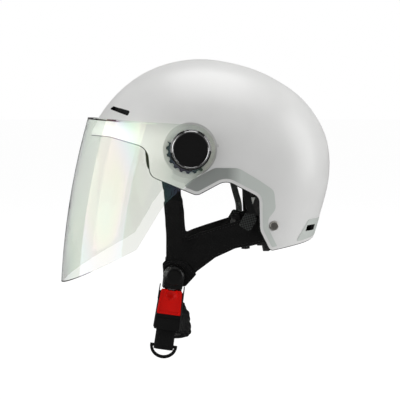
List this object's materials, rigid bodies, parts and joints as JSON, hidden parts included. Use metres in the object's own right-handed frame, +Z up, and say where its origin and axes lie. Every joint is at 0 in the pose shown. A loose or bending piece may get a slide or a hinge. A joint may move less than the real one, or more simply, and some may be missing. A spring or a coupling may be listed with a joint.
{
  "type": "scooter helmet with visor",
  "caption": "Open-face half-shell rider's helmet with a wrap-around clear visor on side hinges, Y straps with a press-release chin buckle, and a nape dial.",
  "frame": {"origin": "centre of the head space on the symmetry plane, level with the ear openings", "axes": "+Z up through the crown, -X the way the wearer looks, wearer's left side at -Y"},
  "size_m": [0.2868, 0.232, 0.3074],
  "materials": {
    "shell_white": "satin",
    "trim_rubber": "matte",
    "liner_black": "matte foam",
    "reflective_grey": "retroreflective film",
    "visor_clear": "clear hard-coated",
    "webbing_black": "woven",
    "sleeve_fabric": "knit",
    "pad_fabric": "knit",
    "buckle_black": "satin",
    "button_red": "satin",
    "hinge_black": "satin",
    "cap_gloss": "gloss",
    "nape_plastic": "satin",
    "steel": "satin"
  },
  "bodies": {
    "helmet": {"brow_pad": "pad_fabric", "chin_pad": "pad_fabric", "chin_strap": "webbing_black", "crown_pad": "pad_fabric", "edge_trim": "trim_rubber", "front_anchor_left": "steel", "front_anchor_right": "steel", "front_webbing_left": "webbing_black", "hinge_plate_left": "hinge_black", "hinge_plate_right": "hinge_black", "liner_foam": "liner_black", "nape_guide_left": "nape_plastic", "nape_guide_right": "nape_plastic", "nape_hanger_left": "nape_plastic", "nape_hanger_right": "nape_plastic", "nape_housing": "nape_plastic", "outer_shell": "shell_white", "pivot_nut_left": "steel", "pivot_nut_right": "steel", "pivot_screw_left": "steel", "pivot_screw_right": "steel", "rear_nut_left": "steel", "rear_nut_right": "steel", "rear_pad": "pad_fabric", "rear_reflector": "reflective_grey", "rear_screw_left": "steel", "rear_screw_right": "steel", "rear_webbing_left": "webbing_black", "rear_webbing_right": "webbing_black", "side_reflector_left": "reflective_grey", "side_reflector_right": "reflective_grey", "sleeve_collar_left": "sleeve_fabric", "sleeve_collar_right": "sleeve_fabric", "strap_sleeve_left": "sleeve_fabric", "strap_sleeve_right": "sleeve_fabric", "strap_washer": "steel", "temple_pad_left": "pad_fabric", "temple_pad_right": "pad_fabric", "tongue_blade": "steel", "tongue_head": "buckle_black"},
    "visor": {"visor_lens": "visor_clear"},
    "left_cap": {"hinge_cap_left": "cap_gloss"},
    "right_cap": {"hinge_cap_right": "cap_gloss"},
    "buckle": {"buckle_frame": "steel", "buckle_body": "buckle_black", "button_spring": "steel", "pull_webbing": "webbing_black", "chin_strap_end": "webbing_black"},
    "button": {"release_button": "button_red"},
    "ring": {"pull_ring": "buckle_black"},
    "dial": {"nape_dial": "nape_plastic", "nape_pinion": "nape_plastic"},
    "left_band": {"nape_band_left": "nape_plastic"},
    "right_band": {"nape_band_right": "nape_plastic"}
  },
  "joints": [
    {"name": "visor_lift", "type": "hinge", "parent": "helmet", "child": "visor", "pos_m": [-0.0152, 0, 0.0569], "axis": [0, 1, 0], "range_deg": [0, 70]},
    {"name": "left_cap_turn", "type": "hinge", "parent": "helmet", "child": "left_cap", "pos_m": [-0.0152, -0.112, 0.0569], "axis": [0, -1, 0], "range_deg": [-90, 0]},
    {"name": "right_cap_turn", "type": "hinge", "parent": "helmet", "child": "right_cap", "pos_m": [-0.0152, 0.112, 0.0569], "axis": [0, 1, 0], "range_deg": [-90, 0]},
    {"name": "buckle_release", "type": "slide", "parent": "helmet", "child": "buckle", "axis": [-0.1461, 0, -0.9893], "range_m": [0, 0.028]},
    {"name": "button_press", "type": "slide", "parent": "buckle", "child": "button", "axis": [0, 1, 0], "range_m": [0, 0.0018], "stiffness_N_per_m": 600, "deforming": ["button_spring"]},
    {"name": "ring_swing", "type": "hinge", "parent": "buckle", "child": "ring", "pos_m": [-0.04172, -0.08535, -0.14381], "axis": [0.9893, 0, -0.1461], "range_deg": [-95, 95]},
    {"name": "dial_turn", "type": "hinge", "parent": "helmet", "child": "dial", "pos_m": [0.0717, 0, -0.036], "axis": [1, 0, 0], "range_deg": [-44, 120]},
    {"name": "left_band_slide", "type": "hinge", "parent": "helmet", "child": "left_band", "pos_m": [-0.065, 0, -0.036], "axis": [0, 0, 1], "range_deg": [-1.1, 3]},
    {"name": "right_band_slide", "type": "hinge", "parent": "helmet", "child": "right_band", "pos_m": [-0.065, 0, -0.036], "axis": [0, 0, 1], "range_deg": [-3, 1.1]}
  ],
  "couplings": [
    {"joint": "left_band_slide", "follows": "dial_turn", "ratio": 0.025},
    {"joint": "right_band_slide", "follows": "dial_turn", "ratio": -0.025}
  ]
}
